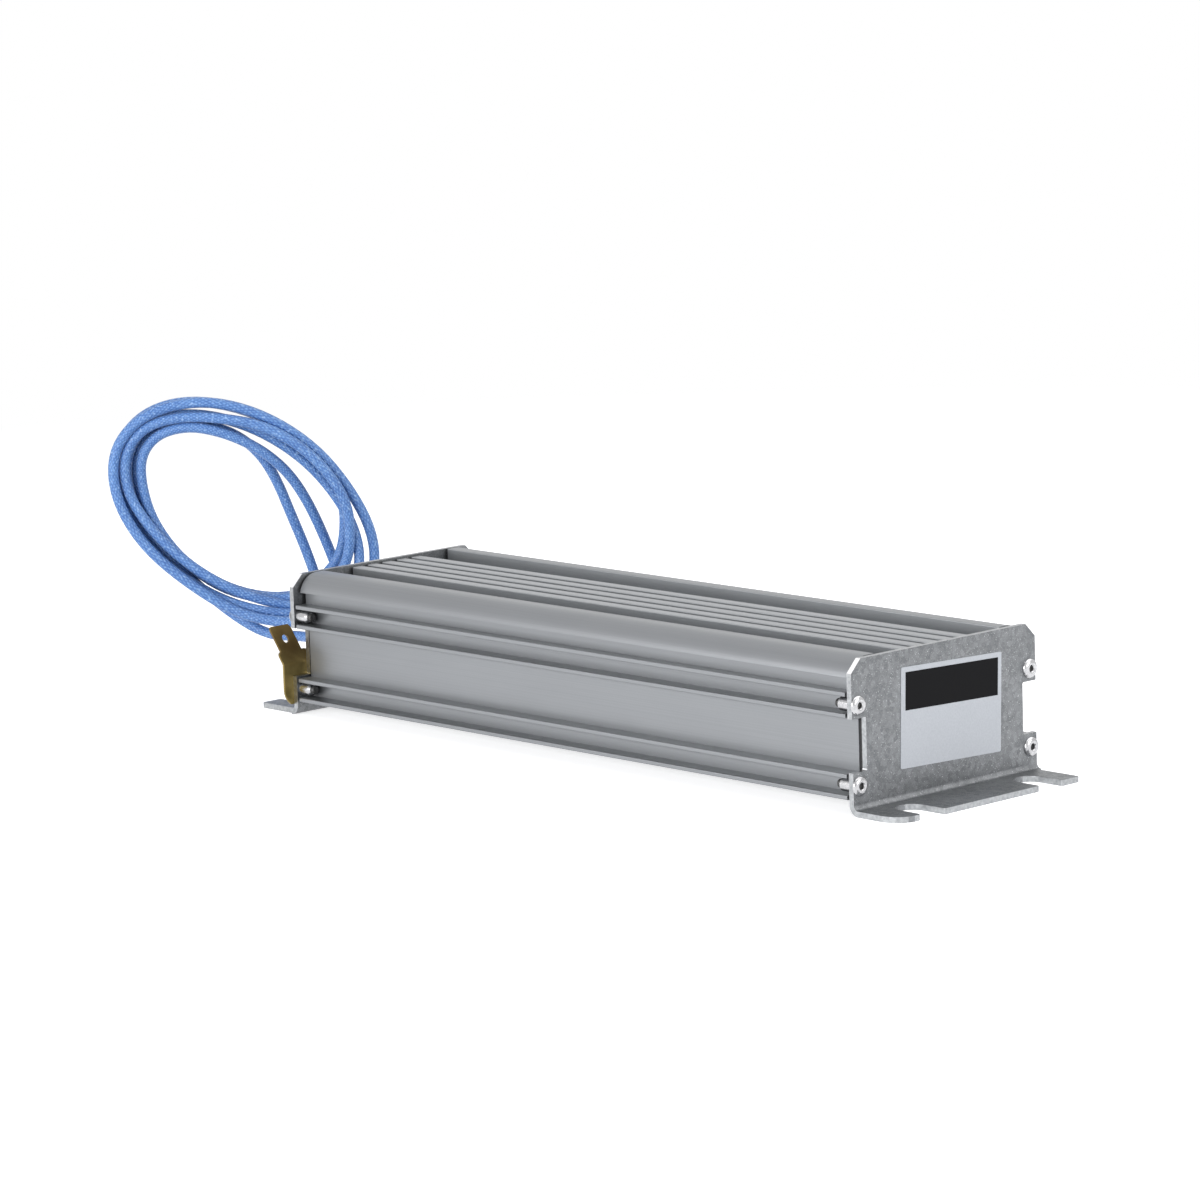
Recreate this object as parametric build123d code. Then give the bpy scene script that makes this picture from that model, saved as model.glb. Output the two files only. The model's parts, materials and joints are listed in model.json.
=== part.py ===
from build123d import *
import math
import os

# Braking resistor: a sand-filled extruded aluminium housing, closed by two bent sheet-steel
# end plates, with two glass-braided leads out of the rear plate.
# Millimetres. +X runs to the labelled front end, +Z is up, the feet stand on z = 0, and the
# origin is midway between the two end plates and between the two long sides.

# housing extrusion
HOUSING_LENGTH = 276.0
BODY_HALF = 44.0  # half width over the lips and over the end plates
BASE_Z = 5.1  # underside of the extrusion above the floor
LIP = 1.5  # thickness of the four lips on each side
LIP_DEPTH = 6.0  # how far the lips stand out from the waist
GROOVE = 5.6  # opening between the two lips of a pair
WAIST = 18.3  # flat side wall between the two pairs of lips
CHANNEL_BACK = 4.9  # depth of the channel under the shoulder
CHANNEL = 4.3  # height of that channel
SHOULDER_R = 8.0
SHOULDER_INSET = 2.3  # the shoulder's round stops this far inside the lips
TOP_Z = 51.5
LAND = 3.9  # flat on top of each shoulder rail
FLOOR_DROP = 7.2  # depth of the top channels below the rails
FIN_COUNT = 5
FIN = 4.3
FIN_PITCH = 7.07
FIN_LOW = 0.7  # the middle fins are this much lower than the rails
WALL_SIDE = 4.0
WALL_TOP = 3.3
WALL_BASE = 3.9
CAVITY_R = 2.0
TIP_R = 0.35

# end plates
PLATE = 2.0
BEND_R = 1.8
FOOT = 20.3  # length of the foot beyond the plate's outer face
CORNER_CUT = 4.5
NOTCH_LOW = 14.3
NOTCH_HIGH = 32.0
NOTCH_DEPTH = 6.5
NOTCH_R = 0.6
SLOT = 11.0
SLOT_IN = 15.7  # middle of a slot in from the plate's side
SLOT_END = 5.3  # closed end of a slot beyond the plate's outer face
PRONG_R = 8.0
PRONG_IN = 1.6  # the square prong's side lies this far inside the plate's side
NOSE_R = 1.4
FOOT_R = 0.8

# gaskets and end boards
GASKET = 1.0
GASKET_INSET = 0.5
REAR_INSET = 1.0  # the rear gasket is cut smaller and can't be seen from the side
BOARD = 3.0
BOARD_CLEAR = 0.2

# blind rivets
RIVET_IN = 2.9  # rivets in from the plate's side
RIVET_RISE = 0.3  # the lower rivets sit this much above the middle of their groove
SHANK_D = 3.2
HOLE_CLEAR = 0.1
HEAD_D = 6.6
HEAD = 1.15
BRIM = 0.3
CROWN_D = 2.7
TAIL = 5.6
TAIL_CLEAR = 0.4
TAIL_CUT = 0.8
MANDREL_D = 2.0
MANDREL_CLEAR = 0.1
MANDREL_SUNK = 1.1  # broken end of the mandrel below the crown
BULB_D = 2.9
BULB = 1.5

# label
LABEL_W = 48.0
LABEL_H = 33.5
LABEL = 0.2
LABEL_R = 0.6
LABEL_Y = 2.7
LABEL_Z = 28.1
LABEL_TILT = 2.0

# earth terminal
BRASS = 0.8
LUG_R = 7.0
LUG_LIFT = 0.3  # the lug is cropped this far above the plate's bend
TAB_BEND = 9.3  # height of the bend above the rivet
TAB_BEND_R = 0.8
TAB_LEAN = 37.0
TAB_LENGTH = 15.5  # from the bend to the tip
TAB_W = 9.5
TAB_SHIFT = 0.8  # the tab stands this far outside the rivet's line
TAB_SHOULDER = 4.0
TAB_CORNER = 1.6
TAB_HOLE_D = 2.8
TAB_HOLE_IN = 5.4

# bush and leads
LEAD_D = 4.0
CONDUCTOR_D = 2.2
LEAD_Z = 25.0
LEAD_PITCH = 8.0
LEAD_CLEAR = 0.1
BUSH_WALL = 3.0
BUSH_RIM = 1.4
BUSH_HEAD = 3.0
BUSH_R = 1.0
COIL_CENTRE = (-231.04, 10.68, 58.6)
COIL_TURN = 47.0  # the coil stands in an upright plane turned this far from the X-Z plane
COIL_TILT = 37.2  # its long axis dips this much
COIL_LONG = 57.9
COIL_SHORT = 37.9
COIL_BUNDLE = 0.28  # the bundle's share of the coil's radius, by eye
COIL_DEPTH = 12.0
COIL_EDGE = 3.0
FERRULE = 12.0
FERRULE_D = 2.9
FLARE = 2.0

# resistance element
END_GAP = 17.0  # sand between the card and the end boards
FORMER_W = 46.0
FORMER = 1.5
RIBBON_W = 4.0
RIBBON = 0.4
TURNS = 20
LEAD_OUT = 14.0  # bare former at each end, carrying the ribbon's end
MICA = 0.5
SAND_CLEAR = 0.1
BARREL_WALL = 0.7
BARREL = 9.0

HALF = HOUSING_LENGTH / 2
INNER = HALF + GASKET  # inner face of an end plate
OUTER = INNER + PLATE  # outer face of an end plate
WAIST_HALF = BODY_HALF - LIP_DEPTH
RIVET_Y = BODY_HALF - RIVET_IN
SLOT_Y = BODY_HALF - SLOT_IN
FORMER_LENGTH = 2 * (HALF - BOARD - END_GAP)
LIP_STEP = LIP + GROOVE
PAIR_Z = BASE_Z + LIP_STEP + LIP + WAIST  # underside of the upper pair of lips
CHANNEL_Z = PAIR_Z + LIP_STEP + LIP
SHOULDER_Z = CHANNEL_Z + CHANNEL
ARC_Y = BODY_HALF - SHOULDER_INSET - SHOULDER_R
ARC_Z = TOP_Z - SHOULDER_R
FLOOR_Z = TOP_Z - FLOOR_DROP
CAVITY_LOW = BASE_Z + WALL_BASE
CAVITY_HIGH = FLOOR_Z - WALL_TOP
CAVITY_HALF = WAIST_HALF - WALL_SIDE
LOW_RIVET_Z = BASE_Z + LIP + GROOVE / 2 + RIVET_RISE
HIGH_RIVET_Z = PAIR_Z + LIP + GROOVE / 2
BEND_Z = PLATE + BEND_R
SHANK_HOLE = SHANK_D + HOLE_CLEAR
BUSH_FACE = OUTER + BUSH_HEAD
LOW_LEAD_Z = LEAD_Z - LEAD_PITCH / 2
HIGH_LEAD_Z = LEAD_Z + LEAD_PITCH / 2
WOUND = FORMER_LENGTH / 2 - LEAD_OUT  # half the wound length
WINDING_H = FORMER + 2 * RIBBON
ELEMENT_H = WINDING_H + 2 * MICA

# Routes of the two leads: lead A leaves through the lower hole, lead B through the upper.
RUN_A = [(-BUSH_FACE, 0, LOW_LEAD_Z), (-158, 0, LOW_LEAD_Z), (-175, 4, 18.5), (-193.5, 12, 14.5),
         (-210.5, 18, 11.5), (-225, 14.8, 12), (-235.5, 5, 17.8), (-242, -4.5, 26)]
RUN_B = [(-BUSH_FACE, 0, HIGH_LEAD_Z), (-158, 0, HIGH_LEAD_Z), (-174, 4, 27.5), (-190.4, 12.6, 23.5),
         (-206.5, 19.2, 20.4), (-220.2, 16.8, 20.5), (-230.3, 8.1, 23.9), (-236.5, -1, 31)]
TAIL_A = [(-240.7, 4.1, 92), (-236.2, 9.4, 87.4), (-232.6, 15.4, 79.4), (-230.1, 21.4, 69.1),
          (-227.8, 27, 56.4), (-224.9, 31.2, 42.6), (-221.5, 35.5, 27.5), (-216.3, 35.8, 13.5),
          (-205.5, 30, 4.2), (-191.5, 21, 2), (-178.5, 12.5, 2)]
TAIL_B = [(-236, 2.6, 90.3), (-231, 8.6, 86.7), (-226.6, 15.4, 80.3), (-223.4, 23.1, 71),
          (-221.3, 29.7, 60.5), (-219.7, 35.7, 48.7), (-217.2, 39.5, 37.2), (-214.3, 43.2, 26),
          (-210.4, 44.6, 14.6), (-201.7, 43.4, 6.2), (-188.5, 39, 2.4), (-175.1, 34.5, 2)]


def block(x, y, z):
    """A box between two values on each axis."""
    return Pos(x[0], y[0], z[0]) * Box(
        x[1] - x[0], y[1] - y[0], z[1] - z[0], align=(Align.MIN, Align.MIN, Align.MIN)
    )


def rod(start, end, y, z, diameter):
    """A round bar along X between two values of x."""
    return Pos(start, y, z) * Rot(0, 90, 0) * Cylinder(
        diameter / 2, end - start, align=(Align.CENTER, Align.CENTER, Align.MIN)
    )


def to_rear(shape):
    """What is drawn at the front end, turned half a turn to the rear end."""
    return Rot(0, 0, 180) * shape


def housing():
    """The extrusion: its section is drawn as one half in the Y-Z plane and mirrored."""
    lips = (BASE_Z, BASE_Z + LIP_STEP, PAIR_Z, PAIR_Z + LIP_STEP)
    back = BODY_HALF - CHANNEL_BACK
    start = math.degrees(math.asin((SHOULDER_Z - ARC_Z) / SHOULDER_R))
    with BuildSketch() as section:
        with BuildLine():
            arc = CenterArc((ARC_Y, ARC_Z), SHOULDER_R, start, 90 - start)
            Polyline((0, BASE_Z), (WAIST_HALF, BASE_Z), (WAIST_HALF, CHANNEL_Z), (back, CHANNEL_Z),
                     (back, SHOULDER_Z), arc @ 0)
            rail = ARC_Y - LAND
            Polyline(arc @ 1, (rail, TOP_Z), (rail, FLOOR_Z), (0, FLOOR_Z), (0, BASE_Z))
        make_face()
        with Locations(*[(WAIST_HALF, low) for low in lips]):
            Rectangle(LIP_DEPTH, LIP, align=(Align.MIN, Align.MIN))
        tips = section.vertices().group_by(Axis.X)[-1]
        fillet(tips, TIP_R)
        mirror(about=Plane.YZ)
        fin = TOP_Z - FIN_LOW - FLOOR_Z
        with Locations((0, FLOOR_Z + fin / 2)):
            with GridLocations(FIN_PITCH, 1, FIN_COUNT, 1):
                Rectangle(FIN, fin)
        tops = section.vertices().filter_by_position(Axis.Y, TOP_Z - FIN_LOW, TOP_Z)
        fillet([corner for corner in tops if abs(corner.X) < ARC_Y - LAND / 2], TIP_R)
        with Locations((0, (CAVITY_LOW + CAVITY_HIGH) / 2)):
            RectangleRounded(2 * CAVITY_HALF, CAVITY_HIGH - CAVITY_LOW, CAVITY_R, mode=Mode.SUBTRACT)
    return extrude(Plane.YZ * section.sketch, HALF, both=True)


def bush_outline(margin):
    """Upright oblong around both leads, in the Y-Z plane."""
    width = LEAD_D + 2 * (BUSH_WALL + margin)
    return Pos(0, LEAD_Z) * SlotOverall(LEAD_PITCH + width, width, rotation=90)


def end_plate(lead_hole):
    """A flat blank bent outward into a foot with two open slots, drawn at the front end."""
    tip = OUTER + FOOT
    with BuildSketch(Plane.XZ) as side:
        with BuildLine():
            Polyline((INNER, TOP_Z), (INNER, 0), (tip, 0), (tip, PLATE), (OUTER, PLATE),
                     (OUTER, TOP_Z), close=True)
        make_face()
        fillet(side.vertices().sort_by_distance((OUTER, PLATE))[0], BEND_R)
        fillet(side.vertices().sort_by_distance((INNER, 0))[0], BEND_R + PLATE)
    plate = extrude(side.sketch, BODY_HALF, both=True)
    plate = chamfer(plate.edges().filter_by(Axis.X).group_by(Axis.Z)[-1], CORNER_CUT)
    reach = (INNER - PLATE, OUTER + PLATE)
    notch = block(reach, (BODY_HALF - NOTCH_DEPTH, BODY_HALF + PLATE), (NOTCH_LOW, NOTCH_HIGH))
    notch = fillet(notch.edges().filter_by(Axis.X).group_by(Axis.Y)[0], NOTCH_R)
    plate -= notch + mirror(notch, Plane.XZ)
    round_x = OUTER + SLOT_END + SLOT / 2
    for side_y in (-SLOT_Y, SLOT_Y):
        slot = Circle(SLOT / 2) + Rectangle(FOOT, SLOT, align=(Align.MIN, Align.CENTER))
        plate -= extrude(Pos(round_x, side_y, -PLATE) * slot, 3 * PLATE)
    plate -= block((OUTER + BEND_R, tip + PLATE), (BODY_HALF - PRONG_IN, BODY_HALF + PLATE),
                   (-PLATE, 2 * PLATE))
    for first, last, radius in ((2, 6, FOOT_R), (1, 2, NOSE_R), (0, 1, PRONG_R)):
        corners = plate.edges().filter_by(Axis.Z).group_by(Axis.X)[-1].sort_by(Axis.Y)
        plate = fillet(corners[first:last], radius)
    for y in (-RIVET_Y, RIVET_Y):
        for z in (LOW_RIVET_Z, HIGH_RIVET_Z):
            plate -= rod(*reach, y, z, SHANK_HOLE)
    if lead_hole:
        plate -= extrude(Plane.YZ.offset(reach[0]) * bush_outline(0), reach[1] - reach[0])
    return plate


def gasket(inset, lead_hole):
    """Sheet gasket between a plate and the end of the extrusion, clear of the lips."""
    low, high = BASE_Z + inset, FLOOR_Z - inset
    half = WAIST_HALF - inset
    sheet = Pos(0, (low + high) / 2) * RectangleRounded(2 * half, high - low, CAVITY_R)
    if lead_hole:
        sheet -= bush_outline(0)
    return extrude(Plane.YZ.offset(HALF) * sheet, GASKET)


def end_board(lead_holes):
    """Mica board that closes the cavity's end and keeps the sand in."""
    width = 2 * (CAVITY_HALF - BOARD_CLEAR)
    height = CAVITY_HIGH - CAVITY_LOW - 2 * BOARD_CLEAR
    sheet = Pos(0, (CAVITY_LOW + CAVITY_HIGH) / 2) * RectangleRounded(width, height, CAVITY_R)
    if lead_holes:
        for z in (LOW_LEAD_Z, HIGH_LEAD_Z):
            sheet -= Pos(0, z) * Circle((LEAD_D + LEAD_CLEAR) / 2)
    return extrude(Plane.YZ.offset(HALF - BOARD) * sheet, BOARD)


def rivet(grip):
    """Set blind rivet along X: domed head on x = 0, tail behind the sheets it grips."""
    bore = (MANDREL_D + MANDREL_CLEAR) / 2
    tail = (GROOVE - 2 * TAIL_CLEAR) / 2
    end = -grip - TAIL
    with BuildSketch() as half:
        with BuildLine():
            crown = (HEAD, CROWN_D / 2)
            brim = (BRIM, HEAD_D / 2)
            Polyline(crown, (HEAD - BRIM, bore), (end, bore), (end, tail - TAIL_CUT),
                     (end + TAIL_CUT, tail), (-grip - BRIM, tail), (-grip, tail - BRIM),
                     (-grip, SHANK_D / 2), (0, SHANK_D / 2), (0, HEAD_D / 2), brim)
            TangentArc(brim, crown, tangent=(0.9, -0.45))
        make_face()
    return revolve(half.sketch, Axis.X)


def mandrel(grip):
    """Broken-off mandrel left inside a set rivet, with its bulb behind the tail."""
    end = -grip - TAIL
    stem = rod(end - BULB, HEAD - MANDREL_SUNK, 0, 0, MANDREL_D)
    bulb = rod(end - BULB, end, 0, 0, BULB_D)
    bulb = fillet(bulb.edges().group_by(Axis.X)[0], BULB / 3)
    return stem + bulb


def rivet_seats():
    """Each rivet's name, its place, the way it faces and the sheet it grips."""
    seats = {}
    for end, sign, turn in (("front", 1, 0), ("rear", -1, 180)):
        for level, z in (("lower", LOW_RIVET_Z), ("upper", HIGH_RIVET_Z)):
            for side, y in (("right", -RIVET_Y), ("left", RIVET_Y)):
                lug = BRASS if (end, level, side) == ("rear", "lower", "right") else 0
                place = Pos(sign * (OUTER + lug), y, z) * Rot(0, 0, turn)
                seats[f"rivet_{end}_{level}_{side}"] = (place, PLATE + lug)
    return seats


def earth_terminal():
    """Brass push-on tab under one rivet, leaning away from the plate; drawn at the front."""
    low = BEND_Z + LUG_LIFT
    bend = LOW_RIVET_Z + TAB_BEND
    lean = math.radians(TAB_LEAN)
    middle = OUTER + BRASS / 2
    tip = (middle + TAB_LENGTH * math.sin(lean), bend + TAB_LENGTH * math.cos(lean))
    with BuildSketch(Plane.XZ) as side:
        with BuildLine() as path:
            FilletPolyline((middle, low), (middle, bend), tip, radius=TAB_BEND_R + BRASS / 2)
        trace(path.line, BRASS)
    strip = extrude(side.sketch, 2 * BODY_HALF, both=True)
    shoulder = bend + TAB_SHOULDER
    hole_z = tip[1] - TAB_HOLE_IN * math.cos(lean)
    tab_y = RIVET_Y + TAB_SHIFT
    with BuildSketch(Plane.YZ) as front:
        with Locations((RIVET_Y, LOW_RIVET_Z)):
            Circle(LUG_R)
            Rectangle(2 * LUG_R, shoulder - LOW_RIVET_Z, align=(Align.CENTER, Align.MIN))
        fillet(front.vertices().group_by(Axis.Y)[-1], TAB_CORNER)
        with Locations((tab_y, bend)):
            Rectangle(TAB_W, tip[1] + BRASS - bend, align=(Align.CENTER, Align.MIN))
        fillet(front.vertices().group_by(Axis.Y)[-1], TAB_CORNER + BRASS)
        with Locations((RIVET_Y, LOW_RIVET_Z)):
            Circle(SHANK_HOLE / 2, mode=Mode.SUBTRACT)
        with Locations((tab_y, hole_z)):
            Circle(TAB_HOLE_D / 2, mode=Mode.SUBTRACT)
    return strip & extrude(front.sketch, 2 * OUTER)


def lead_bush():
    """Silicone bush that lines the lead hole, with a rim outside; drawn at the front."""
    body = extrude(Plane.YZ.offset(HALF) * bush_outline(-LEAD_CLEAR / 2), GASKET + PLATE)
    rim = extrude(Plane.YZ.offset(OUTER) * bush_outline(BUSH_RIM), BUSH_HEAD)
    rim = fillet(rim.edges().group_by(Axis.X)[-1], BUSH_R)
    body += rim
    for z in (LOW_LEAD_Z, HIGH_LEAD_Z):
        body -= rod(HALF - PLATE, BUSH_FACE + PLATE, 0, z, LEAD_D + LEAD_CLEAR)
    return body


def label():
    """Thin self-adhesive plate on the front end plate, stuck on slightly askew."""
    sheet = extrude(Plane.YZ * RectangleRounded(LABEL_W, LABEL_H, LABEL_R), LABEL)
    return Pos(OUTER, LABEL_Y, LABEL_Z) * Rot(-LABEL_TILT, 0, 0) * sheet


def former():
    """Mica card that carries the ribbon."""
    return Pos(0, 0, LEAD_Z) * Box(FORMER_LENGTH, FORMER_W, FORMER)


def winding():
    """One flat ribbon wound round the card, with its ends led out along the middle."""
    edge = FORMER_W / 2
    pitch = 2 * WOUND / TURNS
    over, under = FORMER / 2, -FORMER / 2 - RIBBON

    def strip(x0, y0, x1, y1, level):
        half = RIBBON_W / 2
        corners = [(x0 - half, y0), (x0 + half, y0), (x1 + half, y1), (x1 - half, y1)]
        return extrude(Pos(0, 0, level) * make_face(Polyline(*corners, close=True)), RIBBON)

    pieces = [
        block((-WOUND - LEAD_OUT, -WOUND), (-RIBBON_W / 2, RIBBON_W / 2), (over, over + RIBBON)),
        block((WOUND, WOUND + LEAD_OUT), (-RIBBON_W / 2, RIBBON_W / 2), (under, under + RIBBON)),
    ]
    for turn in range(TURNS + 1):
        x = -WOUND + turn * pitch
        if turn < TURNS:
            start = 0 if turn == 0 else -edge
            pieces.append(strip(x, start, x + pitch / 2, edge, over))
            pieces.append(link(x + pitch / 2, edge))
            stop = 0 if turn == TURNS - 1 else -edge
            pieces.append(strip(x + pitch / 2, edge, x + pitch, stop, under))
        if 0 < turn < TURNS:
            pieces.append(link(x, -edge - RIBBON))
    return Pos(0, 0, LEAD_Z) * (Part() + pieces)


def link(x, y):
    """The ribbon's short upright where it turns over the card's edge."""
    return block((x - RIBBON_W / 2, x + RIBBON_W / 2), (y, y + RIBBON),
                 (-WINDING_H / 2, WINDING_H / 2))


def mica_sheet(side):
    """Insulating sheet over one face of the winding."""
    level = LEAD_Z + side * (WINDING_H + MICA) / 2
    return Pos(0, 0, level) * Box(2 * WOUND, FORMER_W, MICA)


def sand():
    """Packed quartz sand that fills the cavity round the element and the inner leads."""
    length = HALF - BOARD
    half = CAVITY_HALF - SAND_CLEAR
    low, high = CAVITY_LOW + SAND_CLEAR, CAVITY_HIGH - SAND_CLEAR
    fill = block((-length, length), (-half, half), (low, high))
    fill = fillet(fill.edges().filter_by(Axis.X), CAVITY_R)
    wide = FORMER_W / 2 + RIBBON + SAND_CLEAR
    tall = ELEMENT_H / 2 + SAND_CLEAR
    lead = (LEAD_D + LEAD_CLEAR) / 2
    beyond = length + BOARD
    fill -= block((-beyond, beyond), (-wide, wide), (LEAD_Z - tall, LEAD_Z + tall))
    fill -= block((-beyond, beyond), (-lead, lead), (LOW_LEAD_Z - lead, LEAD_Z))
    fill -= block((-beyond, -WOUND), (-lead, lead), (LEAD_Z, HIGH_LEAD_Z + lead))
    return fill


def inner_lead(end, z):
    """A lead's covered stretch from the bush to its barrel, with the stripped end."""
    cover = rod(-BUSH_FACE, end, 0, z, LEAD_D)
    return cover + rod(end, end + BARREL, 0, z, CONDUCTOR_D)


def barrel(end, z):
    """Crimp barrel on the stripped end, with a foot on the ribbon's end."""
    outer = CONDUCTOR_D + 2 * BARREL_WALL
    sleeve = rod(end, end + BARREL, 0, z, outer)
    near = LEAD_Z + math.copysign(WINDING_H / 2, z - LEAD_Z)
    foot = (end + BARREL - RIBBON_W, end + BARREL)
    sleeve += block(foot, (-RIBBON_W / 2, RIBBON_W / 2), sorted((near, z)))
    return sleeve - rod(end - 1, end + BARREL + 1, 0, z, CONDUCTOR_D + LEAD_CLEAR)


def radii(points):
    """Arc radius at each corner of a route: 0.45 of the shorter run over tan(half the turn)."""
    spots = [Vector(*p) for p in points]
    found = []
    for a, b, c in zip(spots, spots[1:], spots[2:]):
        turn = math.radians((b - a).get_angle(c - b))
        found.append(0.45 * min((b - a).length, (c - b).length) / math.tan(turn / 2))
    return found


def tube(name, points):
    """A lead's free stretch: straight runs joined by tangent arcs."""
    bends = radii(points)
    print(name, "radii", [round(r, 1) for r in bends])
    path = FilletPolyline(*points, radius=bends)
    start = Plane(origin=path @ 0, z_dir=path % 0)
    solid = sweep(start * Circle(LEAD_D / 2), path=path)
    print(name, "length", round(path.length, 1), "volume over section x length",
          round(solid.volume / (math.pi * LEAD_D**2 / 4 * path.length), 4))
    return solid


def coil():
    """Outer shape of the oval coil that both leads are wound into."""
    inner = 1 - COIL_BUNDLE
    ring = Ellipse(COIL_LONG, COIL_SHORT) - Ellipse(COIL_LONG * inner, COIL_SHORT * inner)
    turn, tilt = math.radians(COIL_TURN), math.radians(COIL_TILT)
    along = (math.cos(tilt) * math.cos(turn), math.cos(tilt) * math.sin(turn), -math.sin(tilt))
    face = Plane(COIL_CENTRE, x_dir=along, z_dir=(math.sin(turn), -math.cos(turn), 0))
    solid = extrude(face * ring, COIL_DEPTH / 2, both=True)
    return chamfer(solid.edges(), COIL_EDGE)


def tail_frame(points):
    """Where a lead ends and which way it points."""
    last, before = Vector(*points[-1]), Vector(*points[-2])
    return Location(Plane(origin=last, z_dir=last - before))


def ferrule(points):
    """Wire-end ferrule on a lead's stripped end."""
    bore = (CONDUCTOR_D + LEAD_CLEAR) / 2
    with BuildSketch(Plane.XZ) as half:
        with BuildLine():
            Polyline((bore, 0), (LEAD_D / 2, 0), (FERRULE_D / 2, FLARE), (FERRULE_D / 2, FERRULE),
                     (bore, FERRULE), close=True)
        make_face()
    return tail_frame(points) * revolve(half.sketch, Axis.Z)


def conductor_tip(points):
    """Tinned strands inside a ferrule."""
    return tail_frame(points) * Cylinder(
        CONDUCTOR_D / 2, FERRULE, align=(Align.CENTER, Align.CENTER, Align.MIN)
    )


def pieces():
    """Every separate piece, by its node's name."""
    made = {
        "housing": housing(),
        "front_end_plate": end_plate(False),
        "rear_end_plate": to_rear(end_plate(True)),
        "front_gasket": gasket(GASKET_INSET, False),
        "rear_gasket": to_rear(gasket(REAR_INSET, True)),
        "front_end_board": end_board(False),
        "rear_end_board": to_rear(end_board(True)),
        "label": label(),
        "earth_terminal": to_rear(earth_terminal()),
        "lead_bush": to_rear(lead_bush()),
        "mica_former": former(),
        "resistance_ribbon": winding(),
        "upper_mica_sheet": mica_sheet(1),
        "lower_mica_sheet": mica_sheet(-1),
        "sand_fill": sand(),
        "lead_a_inner": inner_lead(WOUND, LOW_LEAD_Z),
        "lead_b_inner": inner_lead(-WOUND - LEAD_OUT, HIGH_LEAD_Z),
        "lead_a_barrel": barrel(WOUND, LOW_LEAD_Z),
        "lead_b_barrel": barrel(-WOUND - LEAD_OUT, HIGH_LEAD_Z),
        "lead_a_run": tube("lead_a_run", RUN_A),
        "lead_b_run": tube("lead_b_run", RUN_B),
        "lead_coil": coil(),
        "lead_a_tail": tube("lead_a_tail", TAIL_A),
        "lead_b_tail": tube("lead_b_tail", TAIL_B),
        "lead_a_ferrule": ferrule(TAIL_A),
        "lead_b_ferrule": ferrule(TAIL_B),
        "lead_a_tip": conductor_tip(TAIL_A),
        "lead_b_tip": conductor_tip(TAIL_B),
    }
    mandrels = []
    for name, (place, grip) in rivet_seats().items():
        made[name] = place * rivet(grip)
        mandrels.append(place * mandrel(grip))
    made["rivet_mandrels"] = Compound(children=mandrels)
    return made


os.makedirs("parts", exist_ok=True)
for node, shape in pieces().items():
    export_step(shape, f"parts/{node}.step")
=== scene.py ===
import json
import logging
import math
from dataclasses import dataclass
from enum import Enum

import bpy
from mathutils import Matrix, Vector


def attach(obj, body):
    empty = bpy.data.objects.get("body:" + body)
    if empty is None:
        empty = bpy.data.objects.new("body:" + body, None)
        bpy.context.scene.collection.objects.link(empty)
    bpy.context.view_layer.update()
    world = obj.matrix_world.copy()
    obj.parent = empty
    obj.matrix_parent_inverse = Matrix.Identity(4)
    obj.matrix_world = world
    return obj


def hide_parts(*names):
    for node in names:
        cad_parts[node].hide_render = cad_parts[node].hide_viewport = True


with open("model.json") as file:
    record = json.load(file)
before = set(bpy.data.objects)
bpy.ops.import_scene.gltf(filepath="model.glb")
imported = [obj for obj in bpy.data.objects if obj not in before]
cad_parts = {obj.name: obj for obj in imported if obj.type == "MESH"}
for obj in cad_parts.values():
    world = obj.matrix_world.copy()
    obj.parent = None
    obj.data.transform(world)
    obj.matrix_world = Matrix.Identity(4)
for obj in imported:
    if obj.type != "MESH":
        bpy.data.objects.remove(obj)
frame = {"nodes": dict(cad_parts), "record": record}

logging.basicConfig(level=logging.INFO, format="%(message)s")
log = logging.getLogger("scene")

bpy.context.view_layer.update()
MM = 0.001
ANGLE_SLACK = 1e-6
MIX_COLORS = (6, 7)  # the Mix node's colour inputs, which share their names with other inputs
MIX_RESULT = 2

Point = tuple[float, float, float]
Pair = tuple[float, float]
Socket = bpy.types.NodeSocket


class Side(Enum):
    """The two leads of the resistor."""

    A = "a"
    B = "b"


class Graph:
    """Builds a node tree by short calls."""

    def __init__(self, tree: bpy.types.NodeTree) -> None:
        """Take over a tree and empty it.

        Args:
            tree: The node tree of a material or a world.
        """
        self.tree = tree
        self.tree.nodes.clear()

    def node(self, kind: str, *sources: object, **settings: object) -> bpy.types.Node:
        """Add a node, set its properties and feed its inputs in order.

        Args:
            kind: Blender's type name without its "ShaderNode" start.
            sources: A socket to link, a value to set or None to skip, one for each input.
            settings: Properties of the node.

        Returns:
            The new node.
        """
        made = self.tree.nodes.new("ShaderNode" + kind)
        for key, value in settings.items():
            setattr(made, key, value)
        for socket, source in zip(made.inputs, sources):
            self.feed(socket, source)
        return made

    def feed(self, socket: Socket, source: object) -> None:
        """Link a socket to an input, or set its value.

        Args:
            socket: The input.
            source: A socket, a value, or None for nothing.
        """
        if isinstance(source, Socket):
            self.tree.links.new(source, socket)
        elif source is not None:
            socket.default_value = source

    def math(self, operation: str, *sources: object) -> Socket:
        """Add a Math node and return its result."""
        return self.node("Math", *sources, operation=operation).outputs[0]

    def times(self, value: Socket, factor: object) -> Socket:
        """Multiply a value by a number or another value."""
        return self.math("MULTIPLY", value, factor)

    def weighted(self, *terms: tuple[Socket, float]) -> Socket:
        """Add up values, each with its own weight.

        Args:
            terms: The values and their weights.

        Returns:
            The sum's socket.
        """
        total, *others = (self.times(value, weight) for value, weight in terms)
        for other in others:
            total = self.math("ADD", total, other)
        return total

    def axes(self, vector: Socket) -> list[Socket]:
        """Split a vector into its x, y and z."""
        return list(self.node("SeparateXYZ", vector).outputs)


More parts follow.
